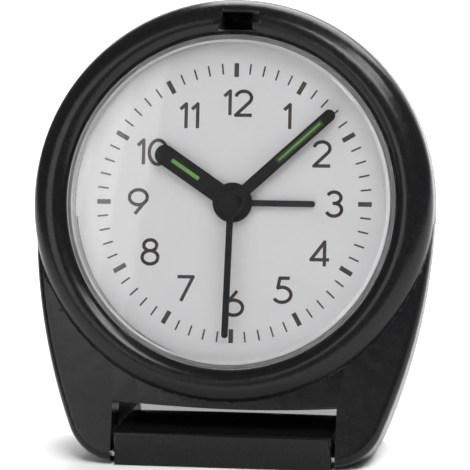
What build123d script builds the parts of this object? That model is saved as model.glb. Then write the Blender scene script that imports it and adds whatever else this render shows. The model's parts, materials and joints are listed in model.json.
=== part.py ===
from build123d import *
import os
from math import asin, atan2, cos, degrees, radians, sin

# A folding travel alarm clock, in millimetres.  +Z is up, +X is the viewer's right and the
# dial looks towards -Y.  The origin is on the table, straight below the hinge of the cover.
# The clock is open: it leans back on its two ears, and the cover lies flat behind it.
# "Level" means the distance in front of the dial's face, along the dial's axis.

# ---- stance -----------------------------------------------------------------------------
lean_angle = 15.4              # the dial leans back from upright
hinge_height = 1.9             # the hinge axis above the table
hinge_drop = 45.5              # the hinge axis below the dial's centre, along the dial
hinge_level = 2.6              # the hinge axis in front of the dial

# ---- case -------------------------------------------------------------------------------
case_radius = 36.5             # the round top of the case
side_radius = 108.0            # the long curve of each side below the middle
ear_start = 41.0               # where a side turns into the corner of its ear
case_bottom = 47.0             # the bottom of the ears below the dial's centre
wall = 1.8
part_level = -2.0              # where the front and the rear shell meet
back_level = -19.0             # the rear face
draft_angle = 10.0             # the rear shell narrows towards the back
apron_rise = 3.6               # the apron comes forward by this much over its height
apron_top_level = 0.7
apron_edge = 1.5
apron_chord = -3.0             # the apron's upper end, hidden inside the bezel
bezel_crest_radius = 32.5
bezel_crest_level = 5.3
bezel_foot_level = 0.4         # the bezel's outer edge, at the case radius
back_edge = 1.2

# ---- opening between the ears -----------------------------------------------------------
bay_half_width = 20.5
bay_top = 37.0                 # the opening's upper edge below the dial's centre
bay_sag = 0.9                  # the case's underside is lower in the middle

# ---- lens and dial ----------------------------------------------------------------------
lens_radius = 30.0
lens_front_level = 5.0
lens_thickness = 1.0
lens_skirt = 1.0
lens_seat_level = 0.6
lens_bevel = 1.3
seat_clearance = 0.1
dial_radius = 30.2
dial_thickness = 0.6
dial_window_radius = 28.9
dial_hole_radius = 3.2

# ---- hands: clockwise angle from twelve, length, width -----------------------------------
second_angle, second_length, second_width = 180.9, 24.4, 1.15
minute_angle, minute_length, minute_width = 47.5, 24.6, 2.15
hour_angle, hour_length, hour_width = 303.3, 17.0, 3.6
alarm_angle, alarm_length, alarm_width = 89.9, 15.0, 1.1
alarm_hand_level, hour_hand_level = 0.5, 1.1
minute_hand_level, second_hand_level = 1.8, 2.6
hand_thickness = 0.4
insert_depth = 0.2
minute_insert_start, minute_insert_end, minute_insert_width = 11.0, 21.8, 1.1
hour_insert_start, hour_insert_end, hour_insert_width = 7.4, 13.6, 0.8
cap_radius = 2.0
cap_height = 0.7

# ---- movement ---------------------------------------------------------------------------
running = 0.05                 # radial clearance of a shaft in its hole
arbor_radius = 0.5
minute_tube_radius = 0.95
hour_tube_radius = 1.45
alarm_tube_radius = 2.0
plate_half_width = 20.5
plate_top, plate_bottom = 21.0, -15.5
front_plate_level, rear_plate_level = -1.9, -10.9
plate_thickness = 1.0
pillar_radius = 1.3
wheel_thickness = 0.8
alarm_wheel_level, hour_wheel_level, motion_wheel_level = -2.9, -4.1, -5.3
minute_wheel_level, third_wheel_level = -6.5, -7.7
second_wheel_level, step_wheel_level = -8.9, -10.1

# ---- hinge and cover --------------------------------------------------------------------
pin_radius = 0.6
pin_grip = 2.2                 # length of a hinge pin inside its ear
pin_reach = 6.0                # length of a hinge pin inside the cover
bar_height = 6.2
bar_front, bar_back = -1.5, 3.0
bar_edge = 0.5                 # rounding of the bar's front edges
cover_thickness = 1.2
cover_end_gap = 0.7            # between each end of the bar and its ear
cover_length = 80.2            # from the hinge axis to the tip
cover_half_width = 24.0        # behind the ears
cover_flare_start, cover_flare_end = 24.0, 30.0
cover_round_start = 38.0       # where the straight sides turn into the round end
stop_gap = 0.2                 # between the open cover and the case's underside
stop_back = 15.6               # the edge that meets the open cover, behind the hinge axis
stop_rise = 0.35               # behind that edge the underside rises by this slope
hook_width, hook_thickness = 4.4, 1.2
latch_x, latch_y = 0.6, 32.4   # the slot for the hook, seen from the dial's centre
latch_height, latch_level = 3.2, 0.4
latch_clearance = 0.6

# ---- battery ----------------------------------------------------------------------------
cell_radius, cell_length = 5.2, 44.0
cell_drop = 24.6               # its axis below the dial's centre
cell_level = -11.4
cell_clearance = 0.3
tray_wall = 0.8
door_half_width, door_half_height = 25.0, 6.6
door_thickness = 0.9
door_clearance = 0.2

# ---- controls ---------------------------------------------------------------------------
knob_radius, knob_height = 4.6, 2.8
knob_gap = 0.4                 # between a knob and the rear face
shaft_radius = 0.7
knob_grooves = 18
switch_x, switch_y = 0.0, 20.5
switch_width, switch_height, switch_travel = 4.0, 2.4, 3.0
buzzer_x, buzzer_y, buzzer_radius, buzzer_thickness = -11.5, 5.5, 7.5, 0.5
sound_hole_radius, sound_ring_radius = 0.8, 4.0

# ---- screws -----------------------------------------------------------------------------
case_screw_places = [(23.2, -39.0), (-23.2, -39.0), (28.6, -18.0), (-28.6, -18.0)]
screw_radius, screw_head_radius, screw_head_height = 0.8, 1.5, 1.0
screw_seat_level = -7.0

os.makedirs("parts", exist_ok=True)

lean = radians(lean_angle)
dial_up = Vector(0, sin(lean), cos(lean))
dial_out = Vector(0, -cos(lean), sin(lean))
dial_centre = Vector(0, 0, hinge_height) + dial_up * hinge_drop - dial_out * hinge_level


def spot(x, y, level):
    """A plane parallel to the dial: x to the right, y towards twelve, level in front."""
    origin = dial_centre + Vector(x, 0, 0) + dial_up * y + dial_out * level
    return Plane(origin=origin, x_dir=(1, 0, 0), z_dir=dial_out)


def disc(x, y, low, high, radius, mode=Mode.ADD):
    """A round slice of the current part between two levels."""
    with BuildSketch(spot(x, y, low)) as circle:
        Circle(radius)
    extrude(circle.sketch, amount=high - low, mode=mode)


def block(x, y, low, high, width, height, mode=Mode.ADD, corner=0.0):
    """A rectangular slice of the current part between two levels."""
    with BuildSketch(spot(x, y, low)) as rectangle:
        if corner > 0:
            RectangleRounded(width, height, corner)
        else:
            Rectangle(width, height)
    extrude(rectangle.sketch, amount=high - low, mode=mode)


def keep(builder, name):
    """Label a finished part and write it."""
    builder.part.label = name
    export_step(builder.part, f"parts/{name}.step")


# The case's outline: a round top, long side curves, and a rounded corner for each ear.
side_turn = asin(ear_start / side_radius)
ear_x = case_radius - side_radius * (1 - cos(side_turn))
ear_radius = (case_bottom - ear_start) / (1 - sin(side_turn))
ear_centre_x = ear_x - ear_radius * cos(side_turn)


def case_outline(plane, inset=0.0):
    with BuildSketch(plane) as outline:
        with BuildLine():
            CenterArc((0, 0), case_radius, 0, 90)
            CenterArc((case_radius - side_radius, 0), side_radius, 0, -degrees(side_turn))
            CenterArc((ear_centre_x, ear_radius - case_bottom), ear_radius, -90, 90 - degrees(side_turn))
            Line((ear_centre_x, -case_bottom), (0, -case_bottom))
            mirror(about=Plane.YZ)
        make_face()
        if inset > 0:
            offset(amount=-inset, mode=Mode.REPLACE)
    return outline.sketch


def bay_cut(low, high):
    """Open the current part between the ears: its underside is a long shallow curve."""
    with BuildSketch(spot(0, 0, low)) as bay:
        with BuildLine():
            top = ThreePointArc((-bay_half_width, -bay_top + bay_sag), (0, -bay_top),
                                (bay_half_width, -bay_top + bay_sag))
            Polyline(top @ 1, (bay_half_width, -2 * case_bottom), (-bay_half_width, -2 * case_bottom), top @ 0)
        make_face()
    extrude(bay.sketch, amount=high - low, mode=Mode.SUBTRACT)


def table_cut():
    """Flatten the current part's ears where they stand on the table."""
    with BuildSketch(Plane.XY) as table:
        Rectangle(4 * case_radius, 4 * case_radius)
    extrude(table.sketch, amount=-2 * case_bottom, mode=Mode.SUBTRACT)


def stop_cut():
    """Cut the current part's underside between the ears: it meets the open cover along one edge."""
    stop_height = bar_height + stop_gap
    reach = 2 * case_radius
    with BuildSketch(Plane(origin=(-bay_half_width, 0, 0), x_dir=(0, 1, 0), z_dir=(1, 0, 0))) as stop:
        with BuildLine():
            Polyline((-reach, stop_height), (stop_back, stop_height),
                     (stop_back + reach, stop_height + reach * stop_rise), (stop_back + reach, -reach),
                     (-reach, -reach), close=True)
        make_face()
    extrude(stop.sketch, amount=2 * bay_half_width, mode=Mode.SUBTRACT)


def hinge_bore():
    """Bore both ears of the current part for the hinge pins."""
    with BuildSketch(Plane(origin=(bay_half_width - 1, 0, hinge_height), x_dir=(0, 1, 0), z_dir=(1, 0, 0))) as bore:
        Circle(pin_radius)
    pin_hole = extrude(bore.sketch, amount=pin_grip + 1, mode=Mode.PRIVATE)
    add(pin_hole, mode=Mode.SUBTRACT)
    add(mirror(pin_hole, about=Plane.YZ, mode=Mode.PRIVATE), mode=Mode.SUBTRACT)


# ---- front shell ------------------------------------------------------------------------
apron_tilt = atan2(apron_rise, case_bottom)
with BuildPart() as front_shell:
    with BuildSketch(spot(0, 0, part_level)):
        add(case_outline(Plane.XY))
        with Locations((0, apron_chord + case_radius)):
            Rectangle(4 * case_radius, 2 * case_radius, mode=Mode.SUBTRACT)
    extrude(amount=2 * bezel_crest_level)
    apron_normal = dial_out * cos(apron_tilt) + dial_up * sin(apron_tilt)
    apron_plane = Plane(origin=spot(0, 0, apron_top_level).origin, x_dir=(1, 0, 0), z_dir=apron_normal)
    split(bisect_by=apron_plane, keep=Keep.BOTTOM)
    apron_rim = front_shell.faces().sort_by(Axis(dial_centre, dial_out))[-1].edges()
    fillet(apron_rim.sort_by(Axis(dial_centre, dial_up))[:-1], apron_edge)
    bezel_foot = case_radius - 0.01
    with BuildSketch(Plane(origin=dial_centre, x_dir=(1, 0, 0), z_dir=-dial_up)) as bezel_profile:
        with BuildLine():
            outer = TangentArc((bezel_crest_radius, bezel_crest_level), (bezel_foot, bezel_foot_level),
                               tangent=(1, 0))
            lip = TangentArc((bezel_crest_radius, bezel_crest_level), (lens_radius + seat_clearance, 3.9),
                             tangent=(-1, 0))
            Polyline(outer @ 1, (bezel_foot, part_level), (lens_radius + seat_clearance, part_level), lip @ 1)
        make_face()
    revolve(bezel_profile.sketch, axis=Axis(dial_centre, dial_out))
    disc(0, 0, lens_seat_level, 2 * bezel_crest_level, lens_radius + seat_clearance, Mode.SUBTRACT)
    disc(0, 0, part_level, 0, dial_radius + seat_clearance, Mode.SUBTRACT)
    disc(0, 0, 0, lens_seat_level, dial_window_radius, Mode.SUBTRACT)
    bay_cut(part_level - 1, 2 * bezel_crest_level)
    block(latch_x, latch_y, latch_level, 2 * bezel_crest_level, hook_width + 2 * latch_clearance,
          latch_height, Mode.SUBTRACT)
    hinge_bore()
    table_cut()
    for screw_x, screw_y in case_screw_places:
        disc(screw_x, screw_y, part_level, 0.2, screw_radius, Mode.SUBTRACT)
keep(front_shell, "front_shell")

# ---- rear shell -------------------------------------------------------------------------
rear_depth = part_level - back_level
cavity_floor = -31.7           # above the underside's rising part
with BuildPart() as cavity:
    extrude(case_outline(spot(0, 0, part_level), inset=wall), amount=-(rear_depth - wall), taper=draft_angle)
    block(0, cavity_floor - case_bottom, back_level, part_level, 4 * case_radius, 2 * case_bottom, Mode.SUBTRACT)
    for screw_x, screw_y in case_screw_places:
        disc(screw_x, screw_y, back_level, part_level, screw_head_radius + 1.0, Mode.SUBTRACT)

with BuildPart() as rear_shell:
    extrude(case_outline(spot(0, 0, part_level)), amount=-rear_depth, taper=draft_angle)
    back_face = rear_shell.faces().sort_by(Axis(dial_centre, dial_out))[0]
    fillet(back_face.edges(), back_edge)
    add(cavity.part, mode=Mode.SUBTRACT)
    bay_cut(back_level - 1, part_level + 1)
    stop_cut()
    table_cut()
    for screw_x, screw_y in case_screw_places:
        disc(screw_x, screw_y, back_level, part_level, screw_radius + running, Mode.SUBTRACT)
        disc(screw_x, screw_y, back_level, screw_seat_level, screw_head_radius + seat_clearance, Mode.SUBTRACT)
    door_step = door_half_height - 1.2
    block(0, -cell_drop, back_level, back_level + door_thickness, 2 * door_half_width,
          2 * door_half_height, Mode.SUBTRACT, corner=1.0)
    block(0, -cell_drop, back_level, back_level + wall, 2 * (door_half_width - 1.2), 2 * door_step, Mode.SUBTRACT)
    block(switch_x, switch_y, back_level, back_level + wall, switch_width + switch_travel + 0.4,
          switch_height + 0.4, Mode.SUBTRACT)
    with BuildSketch(spot(buzzer_x, buzzer_y, back_level)) as sound_holes:
        Circle(sound_hole_radius)
        with PolarLocations(sound_ring_radius, 6):
            Circle(sound_hole_radius)
    extrude(sound_holes.sketch, amount=wall, mode=Mode.SUBTRACT)

# ---- places of the wheels ---------------------------------------------------------------
wheel_module, fine_module = 0.30, 0.25
minute_module = 0.30 * 68 / 72
motion_pinion_module, motion_module = 0.36, 0.375
second_teeth, second_pinion_teeth = 40, 8
third_teeth, third_pinion_teeth = 60, 8
minute_teeth, minute_pinion_teeth = 64, 12
motion_teeth, motion_pinion_teeth = 36, 10
hour_teeth, alarm_teeth, alarm_setter_teeth, time_setter_teeth = 40, 48, 24, 12
step_teeth, step_pinion_teeth, rotor_teeth = 48, 8, 8
third_direction, motion_direction, alarm_setter_direction = 200.0, 20.0, -70.0
step_direction, rotor_direction = 100.0, 130.0


def mesh_distance(module, teeth, other_teeth):
    return module * (teeth + other_teeth) / 2


def away(x, y, distance, direction):
    return x + distance * cos(radians(direction)), y + distance * sin(radians(direction))


third_x, third_y = away(0, 0, mesh_distance(wheel_module, second_pinion_teeth, third_teeth), third_direction)
motion_distance = mesh_distance(motion_module, minute_pinion_teeth, motion_teeth)
motion_x, motion_y = away(0, 0, motion_distance, motion_direction)
time_distance = mesh_distance(motion_module, time_setter_teeth, motion_teeth)
time_x, time_y = away(motion_x, motion_y, time_distance, motion_direction)
alarm_distance = mesh_distance(wheel_module, alarm_teeth, alarm_setter_teeth)
alarm_x, alarm_y = away(0, 0, alarm_distance, alarm_setter_direction)
step_x, step_y = away(0, 0, mesh_distance(wheel_module, step_pinion_teeth, second_teeth), step_direction)
rotor_distance = mesh_distance(fine_module, rotor_teeth, step_teeth)
rotor_x, rotor_y = away(step_x, step_y, rotor_distance, rotor_direction)


def gear(x, y, low, teeth, module, tooth_direction, height=wheel_thickness):
    """Teeth with straight flanks, one of them centred on tooth_direction."""
    pitch = 360 / teeth
    root, tip = module * (teeth / 2 - 0.95), module * (teeth / 2 + 0.7)
    corners = []
    for tooth in range(teeth):
        for radius, turn in ((root, -0.21), (tip, -0.1), (tip, 0.1), (root, 0.21)):
            angle = radians(tooth_direction + (tooth + turn) * pitch)
            corners.append((radius * cos(angle), radius * sin(angle)))
    with BuildSketch(spot(x, y, low)) as toothed:
        with BuildLine():
            Polyline(*corners, close=True)
        make_face()
    extrude(toothed.sketch, amount=height)


def facing_gap(direction, teeth):
    """The tooth direction that turns a gap towards a neighbour that lies in a direction."""
    return direction + 180 / teeth


# ---- knob shafts pass through the rear shell ----------------------------------------------
with BuildPart() as bored_shell:
    add(rear_shell.part)
    disc(time_x, time_y, back_level, back_level + wall, shaft_radius + running, Mode.SUBTRACT)
    disc(alarm_x, alarm_y, back_level, back_level + wall, shaft_radius + running, Mode.SUBTRACT)
keep(bored_shell, "rear_shell")

with BuildPart() as case_screws:
    for screw_x, screw_y in case_screw_places:
        disc(screw_x, screw_y, screw_seat_level, 0, screw_radius)
        disc(screw_x, screw_y, screw_seat_level - screw_head_height, screw_seat_level, screw_head_radius)
        block(screw_x, screw_y, screw_seat_level - screw_head_height, screw_seat_level - 0.5 * screw_head_height,
              1.8, 0.4, Mode.SUBTRACT)
        block(screw_x, screw_y, screw_seat_level - screw_head_height, screw_seat_level - 0.5 * screw_head_height,
              0.4, 1.8, Mode.SUBTRACT)
keep(case_screws, "case_screws")

# ---- lens and dial ----------------------------------------------------------------------
with BuildPart() as lens:
    disc(0, 0, lens_seat_level, lens_front_level, lens_radius)
    front_rim = lens.faces().sort_by(Axis(dial_centre, dial_out))[-1].edges()
    chamfer(front_rim, lens_bevel)
    disc(0, 0, lens_seat_level, lens_front_level - lens_thickness, lens_radius - lens_skirt, Mode.SUBTRACT)
keep(lens, "lens")

with BuildPart() as dial:
    disc(0, 0, -dial_thickness, 0, dial_radius)
    disc(0, 0, -dial_thickness, 0, dial_hole_radius, Mode.SUBTRACT)
keep(dial, "dial")


# ---- hands ------------------------------------------------------------------------------
def hand_plane(level, clockwise):
    """A plane at a hand's level, its y axis along the hand."""
    across_hand = Vector(1, 0, 0) * cos(radians(clockwise)) - dial_up * sin(radians(clockwise))
    return Plane(origin=spot(0, 0, level).origin, x_dir=across_hand, z_dir=dial_out)


def blade(level, clockwise, length, width, tail=0.0):
    """A straight hand with round ends, and the round tip at its length."""
    with BuildSketch(hand_plane(level, clockwise)) as shape:
        with Locations((0, (length - tail) / 2)):
            SlotOverall(length + tail, width, rotation=90)
    extrude(shape.sketch, amount=hand_thickness)


def insert_bar(level, clockwise, start, end, width, mode=Mode.ADD):
    """A luminous bar let into the top of a hand."""
    with BuildSketch(hand_plane(level + hand_thickness - insert_depth, clockwise)) as shape:
        with Locations((0, (start + end) / 2)):
            Rectangle(width, end - start)
    extrude(shape.sketch, amount=insert_depth, mode=mode)


with BuildPart() as alarm_hand:
    blade(alarm_hand_level, alarm_angle, alarm_length, alarm_width)
    disc(0, 0, alarm_hand_level, alarm_hand_level + hand_thickness, 2.9)
    disc(0, 0, alarm_hand_level, alarm_hand_level + hand_thickness, alarm_tube_radius, Mode.SUBTRACT)
keep(alarm_hand, "alarm_hand")

with BuildPart() as hour_hand:
    blade(hour_hand_level, hour_angle, hour_length, hour_width)
    disc(0, 0, hour_hand_level, hour_hand_level + hand_thickness, 3.6)
    disc(0, 0, hour_hand_level, hour_hand_level + hand_thickness, hour_tube_radius, Mode.SUBTRACT)
    insert_bar(hour_hand_level, hour_angle, hour_insert_start, hour_insert_end, hour_insert_width, Mode.SUBTRACT)
keep(hour_hand, "hour_hand")

with BuildPart() as hour_insert:
    insert_bar(hour_hand_level, hour_angle, hour_insert_start, hour_insert_end, hour_insert_width)
keep(hour_insert, "hour_hand_insert")

with BuildPart() as minute_hand:
    blade(minute_hand_level, minute_angle, minute_length, minute_width, tail=minute_width / 2)
    disc(0, 0, minute_hand_level, minute_hand_level + hand_thickness, 2.6)
    disc(0, 0, minute_hand_level, minute_hand_level + hand_thickness, minute_tube_radius, Mode.SUBTRACT)
    insert_bar(minute_hand_level, minute_angle, minute_insert_start, minute_insert_end, minute_insert_width,
               Mode.SUBTRACT)
keep(minute_hand, "minute_hand")

with BuildPart() as minute_insert:
    insert_bar(minute_hand_level, minute_angle, minute_insert_start, minute_insert_end, minute_insert_width)
keep(minute_insert, "minute_hand_insert")

with BuildPart() as second_hand:
    disc(0, 0, second_hand_level, second_hand_level + hand_thickness + cap_height, cap_radius)
    cap_top = second_hand.faces().sort_by(Axis(dial_centre, dial_out))[-1]
    fillet(cap_top.edges(), cap_height * 0.8)
    blade(second_hand_level, second_angle, second_length, second_width)
    disc(0, 0, second_hand_level, second_hand_level + hand_thickness, arbor_radius, Mode.SUBTRACT)
keep(second_hand, "second_hand")

# ---- movement plates --------------------------------------------------------------------
plate_y = (plate_top + plate_bottom) / 2
plate_height = plate_top - plate_bottom
pillar_x = plate_half_width - 2.0
pillar_places = [(side * pillar_x, y) for side in (-1, 1) for y in (plate_bottom + 2.0, plate_top - 2.0)]
post_radius = 0.6

with BuildPart() as front_plate:
    block(0, plate_y, front_plate_level, front_plate_level + plate_thickness, 2 * plate_half_width,
          plate_height, corner=1.5)
    disc(0, 0, front_plate_level, front_plate_level + plate_thickness, alarm_tube_radius + running, Mode.SUBTRACT)
    disc(third_x, third_y, front_plate_level, front_plate_level + plate_thickness, arbor_radius + running,
         Mode.SUBTRACT)
    disc(motion_x, motion_y, motion_wheel_level, front_plate_level, post_radius)
    disc(time_x, time_y, front_plate_level, front_plate_level + plate_thickness, shaft_radius + running,
         Mode.SUBTRACT)
    disc(alarm_x, alarm_y, front_plate_level, front_plate_level + plate_thickness, shaft_radius + running,
         Mode.SUBTRACT)
    for post_x, post_y in pillar_places:
        disc(post_x, post_y, rear_plate_level, front_plate_level, pillar_radius)
        disc(post_x, post_y, rear_plate_level, rear_plate_level + 5.0, screw_radius, Mode.SUBTRACT)
keep(front_plate, "movement_front_plate")

rear_plate_back = rear_plate_level - plate_thickness
with BuildPart() as rear_plate:
    block(0, plate_y, rear_plate_back, rear_plate_level, 2 * plate_half_width, plate_height, corner=1.5)
    disc(0, 0, rear_plate_back, rear_plate_level, arbor_radius + running, Mode.SUBTRACT)
    disc(third_x, third_y, rear_plate_back, rear_plate_level, arbor_radius + running, Mode.SUBTRACT)
    disc(time_x, time_y, rear_plate_back, rear_plate_level, shaft_radius + running, Mode.SUBTRACT)
    disc(alarm_x, alarm_y, rear_plate_back, rear_plate_level, shaft_radius + running, Mode.SUBTRACT)
    disc(step_x, step_y, rear_plate_level, second_wheel_level + wheel_thickness, arbor_radius)
    disc(rotor_x, rotor_y, rear_plate_level, second_wheel_level + wheel_thickness, arbor_radius)
    for post_x, post_y in pillar_places:
        disc(post_x, post_y, rear_plate_back, rear_plate_level, screw_radius + running, Mode.SUBTRACT)
keep(rear_plate, "movement_rear_plate")

with BuildPart() as plate_screws:
    for post_x, post_y in pillar_places:
        disc(post_x, post_y, rear_plate_back, rear_plate_level + 4.8, screw_radius)
        disc(post_x, post_y, rear_plate_back - screw_head_height, rear_plate_back, screw_head_radius)
keep(plate_screws, "movement_screws")

# ---- going train ------------------------------------------------------------------------
with BuildPart() as second_wheel:
    gear(0, 0, second_wheel_level, second_teeth, wheel_module, facing_gap(step_direction, second_teeth))
    gear(0, 0, third_wheel_level, second_pinion_teeth, wheel_module, third_direction)
    disc(0, 0, second_wheel_level, third_wheel_level, arbor_radius + 0.4)
    disc(0, 0, rear_plate_back, second_hand_level + hand_thickness, arbor_radius)
keep(second_wheel, "second_wheel")

with BuildPart() as third_wheel:
    gear(third_x, third_y, third_wheel_level, third_teeth, wheel_module,
         facing_gap(third_direction + 180, third_teeth))
    gear(third_x, third_y, minute_wheel_level, third_pinion_teeth, minute_module, third_direction + 180)
    disc(third_x, third_y, third_wheel_level, minute_wheel_level, arbor_radius + 0.3)
    disc(third_x, third_y, rear_plate_back, front_plate_level + plate_thickness, arbor_radius)
keep(third_wheel, "third_wheel")

with BuildPart() as minute_wheel:
    gear(0, 0, minute_wheel_level, minute_teeth, minute_module, facing_gap(third_direction, minute_teeth))
    gear(0, 0, motion_wheel_level, minute_pinion_teeth, motion_module, motion_direction)
    disc(0, 0, minute_wheel_level, minute_hand_level + hand_thickness, minute_tube_radius)
    disc(0, 0, minute_wheel_level, minute_hand_level + hand_thickness, arbor_radius + running, Mode.SUBTRACT)
keep(minute_wheel, "minute_wheel")

with BuildPart() as motion_wheel:
    gear(motion_x, motion_y, motion_wheel_level, motion_teeth, motion_module,
         facing_gap(motion_direction + 180, motion_teeth))
    gear(motion_x, motion_y, hour_wheel_level, motion_pinion_teeth, motion_pinion_module, motion_direction + 180)
    disc(motion_x, motion_y, motion_wheel_level, hour_wheel_level, post_radius + 0.5)
    disc(motion_x, motion_y, motion_wheel_level, hour_wheel_level + wheel_thickness, post_radius + running,
         Mode.SUBTRACT)
keep(motion_wheel, "motion_wheel")

with BuildPart() as hour_wheel:
    gear(0, 0, hour_wheel_level, hour_teeth, motion_pinion_module, facing_gap(motion_direction, hour_teeth))
    disc(0, 0, hour_wheel_level, hour_hand_level + hand_thickness, hour_tube_radius)
    disc(0, 0, hour_wheel_level, hour_hand_level + hand_thickness, minute_tube_radius + running, Mode.SUBTRACT)
keep(hour_wheel, "hour_wheel")

with BuildPart() as alarm_wheel:
    gear(0, 0, alarm_wheel_level, alarm_teeth, wheel_module, facing_gap(alarm_setter_direction, alarm_teeth))
    disc(0, 0, alarm_wheel_level, alarm_hand_level + hand_thickness, alarm_tube_radius)
    disc(0, 0, alarm_wheel_level, alarm_hand_level + hand_thickness, hour_tube_radius + running, Mode.SUBTRACT)
keep(alarm_wheel, "alarm_wheel")

with BuildPart() as step_wheel:
    gear(step_x, step_y, step_wheel_level, step_teeth, fine_module, facing_gap(rotor_direction, step_teeth))
    gear(step_x, step_y, second_wheel_level, step_pinion_teeth, wheel_module, step_direction + 180)
    disc(step_x, step_y, step_wheel_level, second_wheel_level, arbor_radius + 0.4)
    disc(step_x, step_y, step_wheel_level, second_wheel_level + wheel_thickness, arbor_radius + running,
         Mode.SUBTRACT)
keep(step_wheel, "step_wheel")

magnet_radius = 2.6
with BuildPart() as rotor:
    gear(rotor_x, rotor_y, step_wheel_level, rotor_teeth, fine_module, rotor_direction + 180)
    disc(rotor_x, rotor_y, second_wheel_level - 0.2, second_wheel_level + wheel_thickness, magnet_radius)
    disc(rotor_x, rotor_y, step_wheel_level, second_wheel_level, arbor_radius + 0.3)
    disc(rotor_x, rotor_y, step_wheel_level, second_wheel_level + wheel_thickness, arbor_radius + running,
         Mode.SUBTRACT)
keep(rotor, "rotor")

# ---- stator, coil and circuit board -----------------------------------------------------
coil_y = 17.2
coil_x = 8.0
coil_radius, core_radius, coil_length = 2.4, 1.0, 9.0
with BuildPart() as stator:
    with BuildSketch(spot(0, 0, second_wheel_level)) as lamination:
        with Locations((rotor_x, rotor_y + 0.8)):
            Rectangle(2 * magnet_radius + 5.0, 2 * magnet_radius + 3.4)
        with Locations(((rotor_x + coil_x + coil_length / 2) / 2 + 1.0, coil_y)):
            Rectangle(coil_x + coil_length / 2 - rotor_x + 4.0, 2 * core_radius)
        with Locations((rotor_x, rotor_y)):
            Circle(magnet_radius + 0.4, mode=Mode.SUBTRACT)
    extrude(lamination.sketch, amount=wheel_thickness)
    disc(rotor_x - magnet_radius - 1.6, rotor_y + 4.3, rear_plate_level, second_wheel_level, 0.7)
    disc(coil_x + coil_length / 2 + 1.6, coil_y, rear_plate_level, second_wheel_level, 0.7)
keep(stator, "stator")

with BuildPart() as coil:
    coil_plane = Plane(origin=spot(coil_x - coil_length / 2, coil_y, second_wheel_level + wheel_thickness / 2).origin,
                       x_dir=(0, 1, 0), z_dir=(1, 0, 0))
    with BuildSketch(coil_plane) as winding:
        Circle(coil_radius)
    extrude(winding.sketch, amount=coil_length)
    block(coil_x, coil_y, second_wheel_level - 0.05, second_wheel_level + wheel_thickness + 0.05,
          coil_length + 1, 2 * core_radius + 0.1, Mode.SUBTRACT)
keep(coil, "coil")

board_thickness = 0.8
board_back = rear_plate_back - board_thickness
with BuildPart() as circuit_board:
    block(0, 20.5, board_back, rear_plate_back, 26.0, 9.0)
    for post_x, post_y in pillar_places:
        disc(post_x, post_y, board_back, rear_plate_back, screw_head_radius + 0.4, Mode.SUBTRACT)
    disc(-7.0, 20.0, board_back - 1.0, board_back, 2.6)
    disc(7.5, 21.0, board_back - 2.2, board_back, 1.1)
keep(circuit_board, "circuit_board")

# ---- buzzer -----------------------------------------------------------------------------
buzzer_back = back_level + wall
with BuildPart() as buzzer:
    disc(buzzer_x, buzzer_y, buzzer_back, buzzer_back + buzzer_thickness, buzzer_radius)
    disc(buzzer_x, buzzer_y, buzzer_back, buzzer_back + 0.3, buzzer_radius - 1.0, Mode.SUBTRACT)
    disc(buzzer_x, buzzer_y, buzzer_back + buzzer_thickness, buzzer_back + buzzer_thickness + 0.2, 4.5)
keep(buzzer, "buzzer")

# ---- setting knobs ----------------------------------------------------------------------
knob_front = back_level - knob_gap


def knob(x, y):
    """A ribbed knob behind the rear face."""
    disc(x, y, knob_front - knob_height, knob_front, knob_radius)
    grip_edge = faces_of_knob_end()
    fillet(grip_edge, 0.5)
    with BuildSketch(spot(x, y, knob_front - knob_height)) as grooves:
        with PolarLocations(knob_radius + 0.15, knob_grooves):
            Circle(0.4)
    extrude(grooves.sketch, amount=knob_height - 0.6, mode=Mode.SUBTRACT)
    disc(x, y, knob_front, front_plate_level + plate_thickness, shaft_radius)


def faces_of_knob_end():
    knob_builder = BuildPart._get_context()
    return knob_builder.faces().sort_by(Axis(dial_centre, dial_out))[0].edges()


with BuildPart() as time_knob:
    knob(time_x, time_y)
    gear(time_x, time_y, motion_wheel_level, time_setter_teeth, motion_module, motion_direction + 180)
keep(time_knob, "time_set_knob")

with BuildPart() as alarm_knob:
    knob(alarm_x, alarm_y)
    gear(alarm_x, alarm_y, alarm_wheel_level, alarm_setter_teeth, wheel_module, alarm_setter_direction + 180)
keep(alarm_knob, "alarm_set_knob")

# ---- alarm switch -----------------------------------------------------------------------
with BuildPart() as alarm_switch:
    block(switch_x - switch_travel / 2, switch_y, back_level - 0.9, back_level + wall + 0.1, switch_width,
          switch_height)
    block(switch_x - switch_travel / 2, switch_y, back_level + wall + 0.1, back_level + wall + 1.0,
          switch_width + switch_travel + 1.5, switch_height + 1.6)
    block(switch_x - switch_travel / 2, switch_y, back_level + wall + 1.0, board_back - 0.1, 1.6, 1.4)
keep(alarm_switch, "alarm_switch")

# ---- battery, its tray, contacts and door -------------------------------------------------
tray_half_width = cell_length / 2 + 2.4
tray_half_height = cell_radius + cell_clearance + 0.1
tray_front = cell_level + cell_radius + cell_clearance
with BuildPart() as battery_tray:
    block(0, -cell_drop, back_level + wall, tray_front + tray_wall, 2 * (tray_half_width + tray_wall),
          2 * (tray_half_height + tray_wall))
    block(0, -cell_drop, back_level + wall, tray_front, 2 * tray_half_width, 2 * tray_half_height, Mode.SUBTRACT)
keep(battery_tray, "battery_tray")


def along_cell(start_x, end_x, radius):
    """A round length of the current part along the battery's axis."""
    plane = Plane(origin=spot(start_x, -cell_drop, cell_level).origin, x_dir=(0, 1, 0), z_dir=(1, 0, 0))
    with BuildSketch(plane) as circle:
        Circle(radius)
    extrude(circle.sketch, amount=end_x - start_x)


with BuildPart() as battery:
    along_cell(-cell_length / 2, cell_length / 2 - 1.0, cell_radius)
    along_cell(cell_length / 2 - 1.0, cell_length / 2, 1.8)
keep(battery, "battery")

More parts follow.
